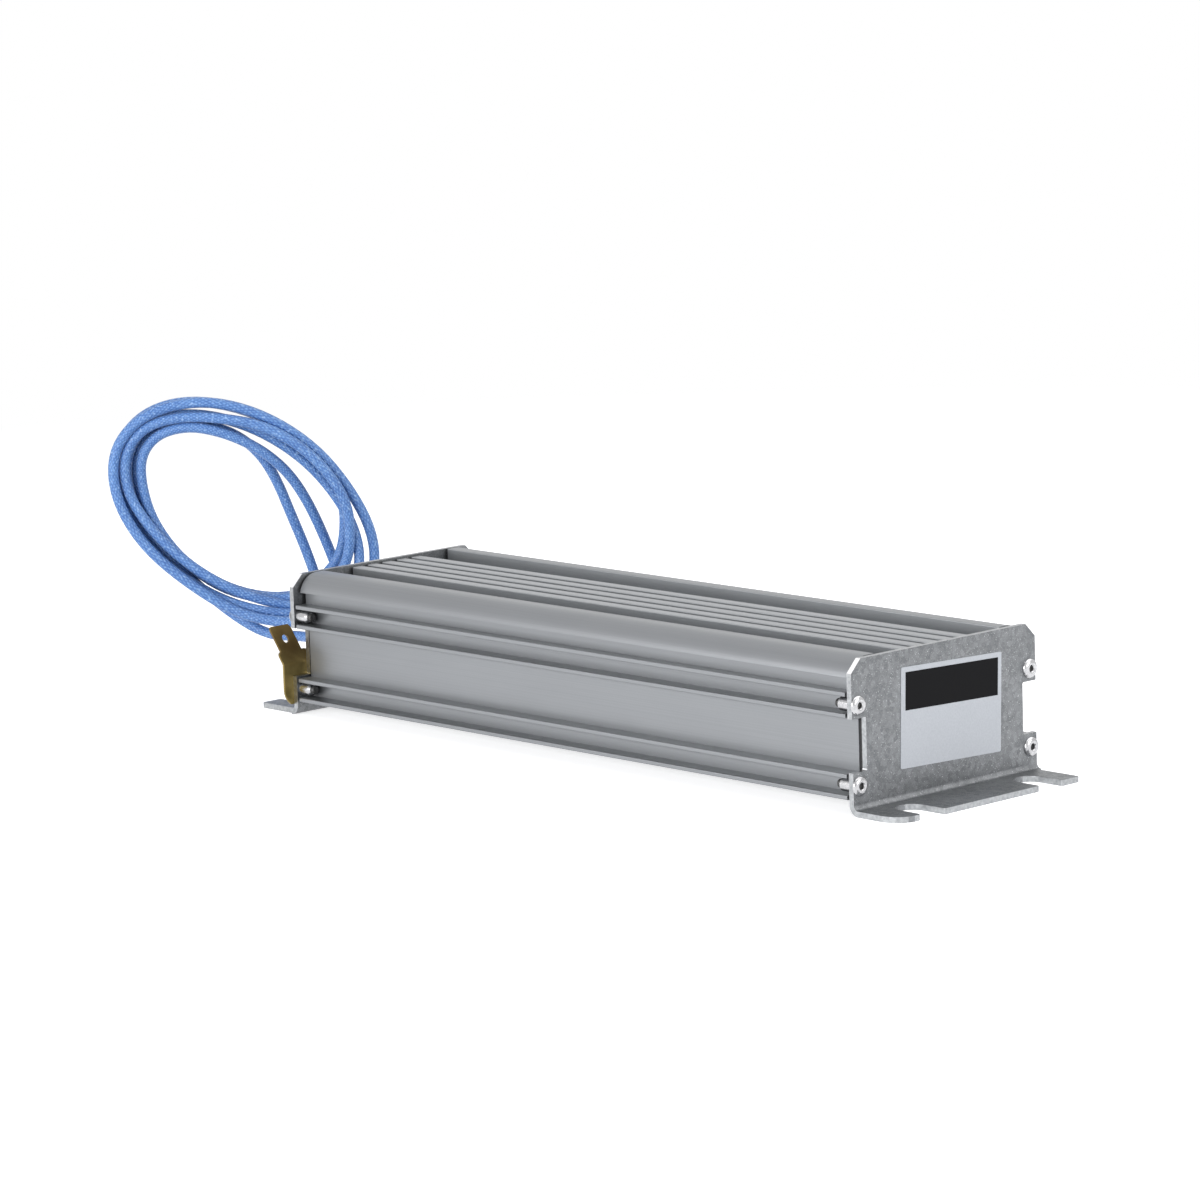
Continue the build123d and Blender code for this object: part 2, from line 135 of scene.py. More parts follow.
class MaterialGraph(Graph):
    """The node tree of one material, with a Principled shader."""

    def __init__(self, name: str) -> None:
        """Start the material.

        Args:
            name: Name of the material.
        """
        self.material = bpy.data.materials.new(name)
        self.material.use_nodes = True
        super().__init__(self.material.node_tree)
        self.shader = self.node("BsdfPrincipled")
        self.output = self.node("OutputMaterial", self.shader.outputs[0])

    def where(self) -> Socket:
        """Return the position in the object's own space, which is the row's frame."""
        return self.node("TexCoord").outputs["Object"]

    def facing(self) -> list[Socket]:
        """Return how far the surface faces along x, y and z, either way."""
        normal = self.node("TexCoord").outputs["Normal"]
        return [self.math("ABSOLUTE", part) for part in self.axes(normal)]

    def stretched(self, scale: Point) -> Socket:
        """Return the position scaled on each axis.

        Args:
            scale: The three factors.

        Returns:
            The scaled vector's socket.
        """
        made = self.node("Mapping", self.where())
        made.inputs["Scale"].default_value = scale
        return made.outputs[0]

    def noise(self, vector: Socket, scale: float = 1.0, detail: float = 3.0) -> Socket:
        """Add fractal noise.

        Args:
            vector: Where it is read.
            scale: Its scale.
            detail: Its number of octaves.

        Returns:
            The noise's socket, from 0 to 1.
        """
        made = self.node("TexNoise", vector)
        made.inputs["Scale"].default_value = scale
        made.inputs["Detail"].default_value = detail
        return made.outputs["Fac"]

    def span(self, value: object, bounds: Pair, results: Pair = (0.0, 1.0)) -> Socket:
        """Map a range of values to another, clamped.

        Args:
            value: The value.
            bounds: Start and end of its range.
            results: What they become.

        Returns:
            The result's socket.
        """
        return self.node("MapRange", value, *bounds, *results).outputs[0]

    def blend(self, factor: object, first: object, second: object) -> Socket:
        """Mix two colours.

        Args:
            factor: How much of the second.
            first: A colour or its socket.
            second: A colour or its socket.

        Returns:
            The mixed colour's socket.
        """
        made = self.node("Mix", factor, data_type="RGBA")
        for index, color in zip(MIX_COLORS, (first, second)):
            self.feed(made.inputs[index], (*color, 1.0) if isinstance(color, tuple) else color)
        return made.outputs[MIX_RESULT]

    def bump(self, height: Socket, depth: float, strength: float) -> None:
        """Give the shader a bumpy normal.

        Args:
            height: The relief, from 0 to 1.
            depth: Its depth in metres.
            strength: Its strength.
        """
        made = self.node("Bump")
        made.inputs["Strength"].default_value = strength
        made.inputs["Distance"].default_value = depth
        self.feed(made.inputs["Height"], height)
        self.feed(self.shader.inputs["Normal"], made.outputs[0])

    def finish(self, metallic: float, roughness: object, color: object) -> bpy.types.Material:
        """Set the shader's main inputs.

        Args:
            metallic: 1 for bare metal, else 0.
            roughness: A value or a socket.
            color: The colour's socket.

        Returns:
            The finished material.
        """
        self.shader.inputs["Metallic"].default_value = metallic
        self.feed(self.shader.inputs["Roughness"], roughness)
        self.feed(self.shader.inputs["Base Color"], color)
        return self.material


@dataclass(frozen=True)
class ExtrudedAluminium:
    """Mill-finish extrusion with fine drawing lines along X; painted paler between the top's rails,
    to lift the shade in its fins and channels.
    """

    light: Point = (0.250, 0.259, 0.271)
    dark: Point = (0.228, 0.236, 0.248)
    # Painted light: paler tones for the top's fins and channels, standing in for less shade there.
    painted_lift_light: Point = (0.335, 0.346, 0.360)
    painted_lift_dark: Point = (0.305, 0.316, 0.330)
    recess_half: float = 29.9 * MM
    recess_low: float = 40.0 * MM
    line_scale: Point = (4.0, 2600.0, 2600.0)
    line_weight: float = 0.65
    cloud_scale: Point = (30.0, 120.0, 120.0)
    cloud_weight: float = 0.35
    tones: Pair = (0.3, 0.7)
    metal: float = 0.72
    roughness: Pair = (0.40, 0.33)  # on the dark and the light tone
    line_depth: float = 0.000006
    relief: float = 0.4

    def build(self) -> bpy.types.Material:
        """Make the material.

        Returns:
            The material.
        """
        g = MaterialGraph("extruded_aluminium")
        lines = g.noise(g.stretched(self.line_scale), detail=4.0)
        clouds = g.noise(g.stretched(self.cloud_scale), detail=2.0)
        tone = g.weighted((lines, self.line_weight), (clouds, self.cloud_weight))
        light = g.span(tone, self.tones)
        color = g.blend(light, self.dark, self.light)
        # Painted light: the fins and channels between the rails get the paler tones.
        color = g.blend(self.painted_lift_zone(g), color, g.blend(light, self.painted_lift_dark, self.painted_lift_light))
        g.bump(lines, self.line_depth, self.relief)
        return g.finish(self.metal, g.span(tone, self.tones, self.roughness), color)

    def painted_lift_zone(self, g: MaterialGraph) -> Socket:
        """Mark the fins and channels between the two rails of the top, where the colour is painted
        paler against their shade.

        Args:
            g: The material's graph.

        Returns:
            1 in the recess, else 0.
        """
        _, y, z = g.axes(g.where())
        between = g.math("LESS_THAN", g.math("ABSOLUTE", y), self.recess_half)
        return g.times(between, g.math("GREATER_THAN", z, self.recess_low))


@dataclass(frozen=True)
class GalvanisedSteel:
    """Zinc-coated sheet: a faint spangle and specks, punched edges of bare sheared steel painted
    brighter as a highlight, and near-white painted highlights on the slanted corners.
    """

    light: Point = (0.255, 0.263, 0.272)
    dark: Point = (0.140, 0.146, 0.153)
    # Punched edges: bare sheared steel with scores, painted brighter than the sheet as a highlight.
    edge_highlight: Point = (0.42, 0.43, 0.44)
    sheared: Point = (0.27, 0.28, 0.29)
    # Painted highlight: near-white colour for the slanted upper corners.
    painted_highlight: Point = (0.97, 0.97, 0.98)
    speck: Point = (0.95, 0.95, 0.96)
    warp_scale: float = 500.0
    warp_reach: float = 1.2 * MM
    spangle_scale: float = 650.0
    spangle_weight: float = 0.22
    fine_scale: float = 1900.0
    fine_weight: float = 0.55
    broad_scale: float = 70.0
    broad_weight: float = 0.25
    tones: Pair = (0.30, 0.74)
    speck_scale: float = 2600.0
    speck_range: Pair = (0.69, 0.75)
    speck_share: float = 0.55
    speck_height: float = 0.5
    score_scale: float = 900.0
    score_range: Pair = (0.3, 0.7)
    rough_tones: Pair = (0.3, 0.8)
    roughness: Pair = (0.50, 0.38)
    cut_gloss: float = 0.12  # a cut edge is this much smoother
    depth: float = 0.00003
    relief: float = 0.6
    corner_slope: float = 0.3
    side_slope: float = 0.4
    level_slope: float = 0.5
    level_from: float = 6.0 * MM
    tip_from: float = 161.25 * MM

    def build(self) -> bpy.types.Material:
        """Make the material.

        Returns:
            The material.
        """
        g = MaterialGraph("galvanised_steel")
        where = g.where()
        fine = g.noise(where, self.fine_scale, detail=5.0)
        tone = g.weighted(
            (self.spangle(g, where), self.spangle_weight),
            (fine, self.fine_weight),
            (g.noise(where, self.broad_scale, detail=2.0), self.broad_weight),
        )
        color = g.blend(g.span(tone, self.tones), self.dark, self.light)
        cut = self.cut_edges(g, where)
        specks = g.span(g.noise(where, self.speck_scale, detail=1.0), self.speck_range)
        specks = g.times(specks, g.math("SUBTRACT", 1.0, cut))
        color = g.blend(g.times(specks, self.speck_share), color, self.speck)
        scores = g.span(g.noise(where, self.score_scale, detail=4.0), self.score_range)
        # The punched edges are bare sheared steel with scores, painted brighter as a highlight.
        color = g.blend(cut, color, g.blend(scores, self.sheared, self.edge_highlight))
        # Painted highlight on the slanted corners.
        color = g.blend(self.painted_highlight_corners(g), color, self.painted_highlight)
        g.bump(g.math("ADD", fine, g.times(specks, self.speck_height)), self.depth, self.relief)
        rough = g.span(tone, self.rough_tones, self.roughness)
        return g.finish(1.0, g.math("SUBTRACT", rough, g.times(cut, self.cut_gloss)), color)

    def spangle(self, g: MaterialGraph, where: Socket) -> Socket:
        """Give each zinc crystal its own tone, with wavy borders.

        Args:
            g: The material's graph.
            where: The position's socket.

        Returns:
            The tone's socket, from 0 to 1.
        """
        waves = g.node("TexNoise", where)
        waves.inputs["Scale"].default_value = self.warp_scale
        reach = (self.warp_reach,) * 3
        shift = g.node("VectorMath", waves.outputs["Color"], reach, operation="MULTIPLY")
        warped = g.node("VectorMath", where, shift.outputs[0], operation="ADD")
        cells = g.node("TexVoronoi", warped.outputs[0])
        cells.inputs["Scale"].default_value = self.spangle_scale
        return g.axes(cells.outputs["Color"])[0]

    def painted_highlight_corners(self, g: MaterialGraph) -> Socket:
        """Mark the plates' slanted upper corners, where a near-white highlight is painted.

        Args:
            g: The material's graph.

        Returns:
            1 on a slanted corner's edge, else 0.
        """
        _, across, up = g.facing()
        return g.times(
            g.math("GREATER_THAN", across, self.corner_slope),
            g.math("GREATER_THAN", up, self.corner_slope),
        )

    def cut_edges(self, g: MaterialGraph, where: Socket) -> Socket:
        """Mark the punched edges of both plates, from the position and the surface's direction.

        Args:
            g: The material's graph.
            where: The position's socket.

        Returns:
            1 on a punched edge, else 0.
        """
        x, _, z = g.axes(where)
        _, across, up = g.facing()
        sides = g.math("GREATER_THAN", across, self.side_slope)
        level = g.times(
            g.math("GREATER_THAN", up, self.level_slope),
            g.math("GREATER_THAN", z, self.level_from),
        )
        tip = g.math("GREATER_THAN", g.math("ABSOLUTE", x), self.tip_from)
        return g.math("MINIMUM", g.math("ADD", g.math("ADD", sides, level), tip), 1.0)


@dataclass(frozen=True)
class PlainFinish:
    """A material with cloudy tone and fine relief, for the smaller pieces."""

    name: str
    light: Point
    dark: Point
    metallic: float
    smooth: float
    rough: float
    scale: float
    depth: float = 0.00001
    relief: float = 0.6
    broad_ratio: float = 9.0  # the broad clouds are this much larger than the fine grain
    weight: float = 0.5
    tones: Pair = (0.35, 0.65)

    def build(self) -> bpy.types.Material:
        """Make the material.

        Returns:
            The material.
        """
        g = MaterialGraph(self.name)
        where = g.where()
        fine = g.noise(where, self.scale, detail=4.0)
        broad = g.noise(where, self.scale / self.broad_ratio, detail=2.0)
        tone = g.weighted((fine, self.weight), (broad, self.weight))
        color = g.blend(g.span(tone, self.tones), self.dark, self.light)
        g.bump(fine, self.depth, self.relief)
        return g.finish(self.metallic, g.span(tone, self.tones, (self.rough, self.smooth)), color)


@dataclass(frozen=True)
class TarnishedBrass:
    """Stamped brass with tarnish stains, darker brown towards its upper end."""

    light: Point = (0.42, 0.33, 0.125)
    dark: Point = (0.26, 0.195, 0.065)
    brown: Point = (0.105, 0.062, 0.018)
    browning: Pair = (10.0 * MM, 24.0 * MM)  # from clean to brown, going up
    height_share: float = 0.7
    grain_scale: float = 700.0
    patch_scale: float = 140.0
    patch_range: Pair = (0.35, 0.65)
    stain_scale: float = 90.0
    stain_range: Pair = (0.30, 0.70)
    stain_share: float = 0.6
    stain_weight: float = 0.5
    metal: float = 0.9
    rough_tones: Pair = (0.3, 0.7)
    roughness: Pair = (0.48, 0.32)
    depth: float = 0.00001
    relief: float = 0.6

    def build(self) -> bpy.types.Material:
        """Make the material.

        Returns:
            The material.
        """
        g = MaterialGraph("tarnished_brass")
        where = g.where()
        grain = g.noise(where, self.grain_scale, detail=4.0)
        patches = g.span(g.noise(where, self.patch_scale), self.patch_range)
        height = g.span(g.axes(where)[2], self.browning, (0.0, self.height_share))
        stain = g.noise(where, self.stain_scale, detail=4.0)
        stain = g.times(g.span(stain, self.stain_range, (0.0, self.stain_share)), self.stain_weight)
        browned = g.math("MINIMUM", g.math("ADD", height, stain), 1.0)
        color = g.blend(browned, g.blend(patches, self.dark, self.light), self.brown)
        g.bump(grain, self.depth, self.relief)
        return g.finish(self.metal, g.span(grain, self.rough_tones, self.roughness), color)


@dataclass(frozen=True)
class LabelFoil:
    """Silver-white printed foil with one plain black band, laid out in the label's own plane."""

    centre: Pair = (2.7 * MM, 28.1 * MM)
    tilt: float = 2.0
    band_centre: Pair = (0.15 * MM, 8.7 * MM)
    band_half: Pair = (22.2 * MM, 6.35 * MM)
    foil: Point = (0.525, 0.545, 0.58)
    shade: Point = (0.475, 0.495, 0.53)
    ink: Point = (0.008, 0.008, 0.009)
    fibre_scale: float = 1500.0
    fibre_tones: Pair = (0.3, 0.7)
    specular: float = 0.05
    roughness: float = 0.55
    band_gloss: float = 0.10  # the band is this much smoother
    depth: float = 0.000008
    relief: float = 0.5

    def build(self) -> bpy.types.Material:
        """Make the material.

        Returns:
            The material.
        """
        g = MaterialGraph("label_foil")
        where = g.where()
        band = self.band(g, where)
        fibre = g.noise(where, self.fibre_scale)
        color = g.blend(g.span(fibre, self.fibre_tones), self.shade, self.foil)
        g.bump(fibre, self.depth, self.relief)
        g.shader.inputs["Specular IOR Level"].default_value = self.specular
        rough = g.math("SUBTRACT", self.roughness, g.times(band, self.band_gloss))
        return g.finish(0.0, rough, g.blend(band, color, self.ink))

    def band(self, g: MaterialGraph, where: Socket) -> Socket:
        """Mark the black band, which is tilted as the label is.

        Args:
            g: The material's graph.
            where: The position's socket.

        Returns:
            1 in the band, else 0.
        """
        _, y, z = g.axes(where)
        y = g.math("SUBTRACT", y, self.centre[0])
        z = g.math("SUBTRACT", z, self.centre[1])
        cos, sin = math.cos(math.radians(self.tilt)), math.sin(math.radians(self.tilt))
        across = g.math("SUBTRACT", g.times(y, cos), g.times(z, sin))
        up = g.weighted((y, sin), (z, cos))
        return g.times(
            self.within(g, across, self.band_centre[0], self.band_half[0]),
            self.within(g, up, self.band_centre[1], self.band_half[1]),
        )

    @staticmethod
    def within(g: MaterialGraph, value: Socket, centre: float, half: float) -> Socket:
        """Mark where a value is within half a width of a centre.

        Args:
            g: The material's graph.
            value: The value.
            centre: The middle of the range.
            half: Half the range's width.

        Returns:
            1 inside and 0 outside.
        """
        off = g.math("ABSOLUTE", g.math("SUBTRACT", value, centre))
        return g.math("LESS_THAN", off, half)


@dataclass(frozen=True)
class GlassBraid:
    """Blue glass-fibre braid, woven in the tube's own UV map, with painted shade in the weave's
    gaps and pale flecks painted as highlights.
    """

    length: float
    side: Side
    light: Point = (0.158, 0.335, 0.66)
    dark: Point = (0.042, 0.122, 0.36)
    # Painted highlight: pale flecks that stand in for glints on the yarn.
    painted_glint: Point = (0.52, 0.70, 0.92)
    pitch: float = 2.2 * MM
    strands: int = 10
    yarn_scale: Pair = (900.0, 11.0)  # per metre along the lead, and once round it
    stray: float = 0.55
    patch_scale: float = 60.0
    # Share of the tone that is painted shade in the gaps of the weave.
    weave_shade_weight: float = 0.46
    yarn_weight: float = 0.50
    patch_weight: float = 0.25
    tones: Pair = (0.30, 0.85)
    painted_glint_range: Pair = (0.56, 0.76)
    painted_glint_share: float = 0.52
    yarn_height: float = 0.5
    depth: float = 0.16 * MM
    relief: float = 0.7
    sheen: float = 0.12
    coat: float = 0.06
    roughness: float = 0.50

    def build(self) -> bpy.types.Material:
        """Make the material.

        Returns:
            The material.
        """
        g = MaterialGraph(f"blue_braid_{self.side.value}")
        along, around, _ = g.axes(g.node("TexCoord").outputs["UV"])
        lengthwise, crosswise = self.yarn_scale
        yarn = g.noise(self.unrolled(g, along, lengthwise, g.times(around, crosswise)))
        patches = g.noise(self.unrolled(g, along, self.patch_scale), detail=2.0)
        weave = self.weave(g, along, around, g.times(yarn, self.stray))
        # The tone mixes random yarn and patch tone with painted shade where the weave's yarns part.
        tone = g.weighted(
            (weave, self.weave_shade_weight),
            (yarn, self.yarn_weight),
            (patches, self.patch_weight),
        )
        color = g.blend(g.span(tone, self.tones), self.dark, self.light)
        # Painted highlight: pale flecks where the yarn noise is high.
        painted_glints = g.span(yarn, self.painted_glint_range, (0.0, self.painted_glint_share))
        g.bump(g.math("ADD", weave, g.times(yarn, self.yarn_height)), self.depth, self.relief)
        g.shader.inputs["Sheen Weight"].default_value = self.sheen
        g.shader.inputs["Coat Weight"].default_value = self.coat
        return g.finish(0.0, self.roughness, g.blend(painted_glints, color, self.painted_glint))

    def unrolled(
        self, g: MaterialGraph, along: Socket, scale: float, across: object = None
    ) -> Socket:
        """Return the place on the unrolled braid, at a scale of its own.

        Args:
            g: The material's graph.
            along: Share of the lead's length.
            scale: Units per metre along the lead.
            across: The scaled place round the lead, if it counts.

        Returns:
            The vector's socket.
        """
        return g.node("CombineXYZ", g.times(along, self.length * scale), across).outputs[0]

    def weave(self, g: MaterialGraph, along: Socket, around: Socket, stray: Socket) -> Socket:
        """Cross two sets of yarns that wind opposite ways.

        Args:
            g: The material's graph.
            along: Share of the lead's length.
            around: Share of the way round it.
            stray: How far a yarn wanders.

        Returns:
            The weave's height, from 0 to 1.
        """
        wraps = g.times(along, self.length / self.pitch)
        turn = g.times(around, float(self.strands))
        ways = ("ADD", "SUBTRACT")
        right, left = (self.wave(g, g.math(way, g.math(way, wraps, turn), stray)) for way in ways)
        return g.times(right, left)

    @staticmethod
    def wave(g: MaterialGraph, phase: Socket) -> Socket:
        """Return a rounded yarn profile, once per unit of phase.

        Args:
            g: The material's graph.
            phase: The phase.

        Returns:
            The profile's socket, from 0 to 1.
        """
        swing = g.math("SINE", g.times(phase, 2 * math.pi))
        return g.math("ADD", g.times(swing, 0.5), 0.5)


PLAIN_FINISHES = (
    PlainFinish(
        "rivet_aluminium", light=(0.58, 0.58, 0.59), dark=(0.40, 0.40, 0.41),
        metallic=1.0, smooth=0.15, rough=0.26, scale=900.0,
    ),
    PlainFinish(
        "mandrel_steel", light=(0.10, 0.10, 0.10), dark=(0.03, 0.03, 0.03),
        metallic=0.6, smooth=0.45, rough=0.6, scale=3000.0,
    ),
    PlainFinish(
        "black_gasket", light=(0.035, 0.035, 0.036), dark=(0.015, 0.015, 0.016),
        metallic=0.0, smooth=0.7, rough=0.85, scale=1600.0,
    ),
    PlainFinish(
        "grey_silicone", light=(0.34, 0.35, 0.36), dark=(0.28, 0.29, 0.30),
        metallic=0.0, smooth=0.45, rough=0.6, scale=1200.0,
    ),
    PlainFinish(
        "mica", light=(0.66, 0.58, 0.42), dark=(0.46, 0.38, 0.25),
        metallic=0.0, smooth=0.3, rough=0.5, scale=350.0,
    ),
    PlainFinish(
        "resistance_alloy", light=(0.48, 0.47, 0.45), dark=(0.36, 0.35, 0.34),
        metallic=1.0, smooth=0.3, rough=0.42, scale=900.0,
    ),
    PlainFinish(
        "quartz_sand", light=(0.76, 0.70, 0.58), dark=(0.55, 0.49, 0.38),
        metallic=0.0, smooth=0.85, rough=0.95, scale=2600.0, depth=0.2 * MM,
    ),
    PlainFinish(
        "tinned_copper", light=(0.80, 0.80, 0.78), dark=(0.62, 0.62, 0.61),
        metallic=1.0, smooth=0.22, rough=0.36, scale=1400.0,
    ),
)


class Finishes:
    """All finishes but the braid, by the record's material slot."""

    def __init__(self) -> None:
        """Make each material once."""
        self.by_slot: dict[str, bpy.types.Material] = {
            "extruded_aluminium": ExtrudedAluminium().build(),
            "galvanised_steel": GalvanisedSteel().build(),
            "label_foil": LabelFoil().build(),
            "brass": TarnishedBrass().build(),
        }
        for plain in PLAIN_FINISHES:
            self.by_slot[plain.name] = plain.build()

    def dress(self, replaced: set[str]) -> None:
        """Give every CAD node that shows its finish.

        Args:
            replaced: Names of the nodes that modelled pieces stand for.
        """
        slots = {part["node"]: part["material_slot"] for part in frame["record"]["subparts"]}
        for name, obj in frame["nodes"].items():
            slot = slots[name]
            if name in replaced or slot not in self.by_slot:
                continue
            if not obj.data.materials:
                obj.data.materials.append(None)
            for index in range(len(obj.material_slots)):
                obj.material_slots[index].material = self.by_slot[slot]
            log.info("%s: %s, %d faces", name, slot, len(obj.data.polygons))


@dataclass(frozen=True)
class Coil:
    """The oval that both leads are wound into, in an upright plane, in millimetres and degrees."""

    centre: Point = (-231.04, 10.68, 58.6)
    turn: float = 47.0
    tilt: float = 37.2
    long: float = 58.6
    short: float = 38.6

    def spot(self, angle: float, inset: float, depth: float) -> Vector:
        """Return a point of a strand.

        Args:
            angle: Degrees round the oval.
            inset: How far inside the coil's outline, in millimetres.
            depth: How far out of the coil's plane, in millimetres.

        Returns:
            The point, in millimetres.
        """
        turn, tilt, way = (math.radians(v) for v in (self.turn, self.tilt, angle))
        flat = Vector((math.cos(turn), math.sin(turn), 0.0))
        along = flat * math.cos(tilt) - Vector((0.0, 0.0, math.sin(tilt)))
        across = flat * math.sin(tilt) + Vector((0.0, 0.0, math.cos(tilt)))
        out = Vector((math.sin(turn), -math.cos(turn), 0.0))
        return (
            Vector(self.centre)
            + along * (self.long - inset) * math.cos(way)
            + across * (self.short - inset) * math.sin(way)
            + out * depth
        )


@dataclass(frozen=True)
class Lead:
    """One braided lead: its way out, its lane in the coil and its tail, in millimetres.

    The lane gives the angle, inset and depth of the strand at places all the way round.
    """

    side: Side
    run: tuple[Point, ...]
    lane: tuple[Point, ...]
    tail: tuple[Point, ...]
    length: float  # whole length in metres
    diameter: float = 4.0
    per_turn: int = 16
    order: int = 3
    line_steps: int = 5
    round_steps: int = 4

    def turns(self, coil: Coil) -> list[Vector]:
        """Work out the coil's points, going the same way round all through.

        Args:
            coil: The oval.

        Returns:
            The points, in millimetres.
        """
        first, last = self.lane[0][0], self.lane[-1][0]
        count = round((first - last) / (360.0 / self.per_turn))
        angles = (first + (last - first) * step / count for step in range(count + 1))
        return [coil.spot(*self.lane_at(angle)) for angle in angles]

    def lane_at(self, angle: float) -> Point:
        """Read the lane between two of its places.

        Args:
            angle: Degrees round the oval.

        Returns:
            The angle, and the inset and depth there.
        """
        for (a0, i0, d0), (a1, i1, d1) in zip(self.lane, self.lane[1:]):
            if a1 <= angle + ANGLE_SLACK:
                break
        share = (a0 - angle) / (a0 - a1)
        return angle, i0 + (i1 - i0) * share, d0 + (d1 - d0) * share

    def build(self, coil: Coil) -> bpy.types.Object:
        """Args:
            coil: The oval.

        Returns:
            The tube.
        """
        points = [Vector(p) * MM for p in (*self.run, *self.turns(coil), *self.tail)]
        name = f"lead_{self.side.value}"
        curve = bpy.data.curves.new(name, "CURVE")
        curve.dimensions = "3D"
        curve.resolution_u = self.line_steps
        spline = curve.splines.new("NURBS")
        spline.points.add(len(points) - 1)
        for spot, point in zip(spline.points, points):
            spot.co = (*point, 1.0)
        spline.order_u = self.order
        spline.use_endpoint_u = True
        tube = bpy.data.objects.new(name, curve)
        bpy.context.collection.objects.link(tube)
        path = self.line(tube)
        length = sum((b - a).length for a, b in zip(path, path[1:]))
        curve.bevel_depth = self.diameter * MM / 2
        curve.bevel_resolution = self.round_steps
        curve.use_fill_caps = True
        bpy.ops.object.select_all(action="DESELECT")
        tube.select_set(True)
        bpy.context.view_layer.objects.active = tube
        bpy.ops.object.convert(target="MESH")
        bpy.ops.object.shade_smooth()
        tube = bpy.context.view_layer.objects.active
        log.info("%s: %.1f mm long, %d faces", name, length / MM, len(tube.data.polygons))
        tube.data.materials.clear()
        tube.data.materials.append(GlassBraid(length, self.side).build())
        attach(tube, "root")
        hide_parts(*self.stands_for())
        return tube

    def stands_for(self) -> list[str]:
        """Name the CAD nodes that this lead replaces.

        Returns:
            The nodes' names.
        """
        own = [f"lead_{self.side.value}_{part}" for part in ("run", "tail")]
        return own + (["lead_coil"] if self.side is Side.A else [])

    @staticmethod
    def line(tube: bpy.types.Object) -> list[Vector]:
        """Read the points that a curve with no bevel follows.

        Args:
            tube: The curve's object.

        Returns:
            The points, in metres.
        """
        mesh = bpy.data.meshes.new_from_object(tube)
        points = [v.co.copy() for v in mesh.vertices]
        bpy.data.meshes.remove(mesh)
        return points


LEADS = (
    Lead(
        side=Side.A,
        run=(
            (-144, 0, 21), (-158, 0, 21), (-175, 4, 18.5), (-193.5, 12, 14.5),
            (-210.3, 15.2, 13.1), (-225, 12.6, 12.3), (-238.3, 5.8, 20.5),
        ),
        lane=(
            (-95, 4.8, -3.6), (-130, 5.9, -2.5), (-165, 6.3, -1.9), (-200, 7, -1.8),
            (-235, 8.3, -2), (-270, 8.5, -2.5), (-305, 9.8, -2.2), (-340, 9.7, -0.2),
            (-375, 8.7, 3), (-410, 7.7, 3.5), (-445, 4.3, 0.9), (-480, 2.4, -0.5),
            (-515, 2, -1.8), (-550, 2.7, -2.4), (-585, 2.9, -3.2), (-620, 3.1, -4.6),
            (-655, 6.3, -6), (-690, 16.7, -6.4), (-725, 21.4, -6.5), (-760, 13.4, -6.9),
            (-795, 8.6, -7), (-830, 7.4, -6.2), (-865, 9, -5.2), (-900, 10.2, -3.8),
            (-935, 11.8, -2.9),
        ),
        tail=(
            (-239.9, 5.5, 91.9), (-234.2, 12.6, 87.2), (-230.5, 18.8, 80), (-228.6, 24.1, 69.9),
            (-227.4, 28.9, 57.1), (-225.1, 33.7, 43.1), (-221.5, 36.6, 28.4),
            (-216.3, 35.8, 13.5), (-205.5, 30, 4.2), (-191.5, 21, 2), (-178.5, 12.5, 2),
        ),
        length=0.857,
    ),
    Lead(
        side=Side.B,
        run=(
            (-144, 0, 29), (-158, 0, 29), (-174, 4, 27.5), (-190.4, 12.6, 23.5),
            (-205, 16.2, 19.4), (-218.4, 13.1, 17.6), (-231.5, 3.1, 21.4),
        ),
        lane=(
            (-95, 4.1, 4.6), (-130, 1.3, 4.2), (-165, 1.3, 3.9), (-200, 3.7, 2.8),
            (-235, 1.9, 1.2), (-270, 1.9, -0.4), (-305, 4.3, -1.7), (-340, 3, -2.6),
            (-375, 7.8, -2.1), (-410, 11, 0.6), (-445, 10.2, 2.4), (-480, 8.3, 2.5),
            (-515, 4.8, 2.4), (-550, 6.7, 2.3), (-585, 9.3, 2.7), (-620, 4.4, 2.8),
            (-655, 4.9, 2.9), (-690, 13.7, 2.3), (-725, 17.3, -0.3), (-760, 14.1, -3.1),
            (-795, 8.2, -2.9), (-830, 8.4, -1.9), (-865, 12, -0.7), (-900, 11.8, 0.7),
            (-935, 12.4, 2.2),
        ),
        tail=(
            (-235.6, 2.1, 91.1), (-229.3, 10.2, 86.6), (-224.8, 18.1, 80.4), (-222, 25.5, 72.3),
            (-220.5, 31.8, 62), (-219.3, 37.1, 50.3), (-217.4, 41.1, 38.2), (-214.3, 43.2, 26),
            (-210.4, 44.6, 14.6), (-201.7, 43.4, 6.2), (-188.5, 39, 2.4), (-175.1, 34.5, 2),
        ),
        length=0.86,
    ),
)


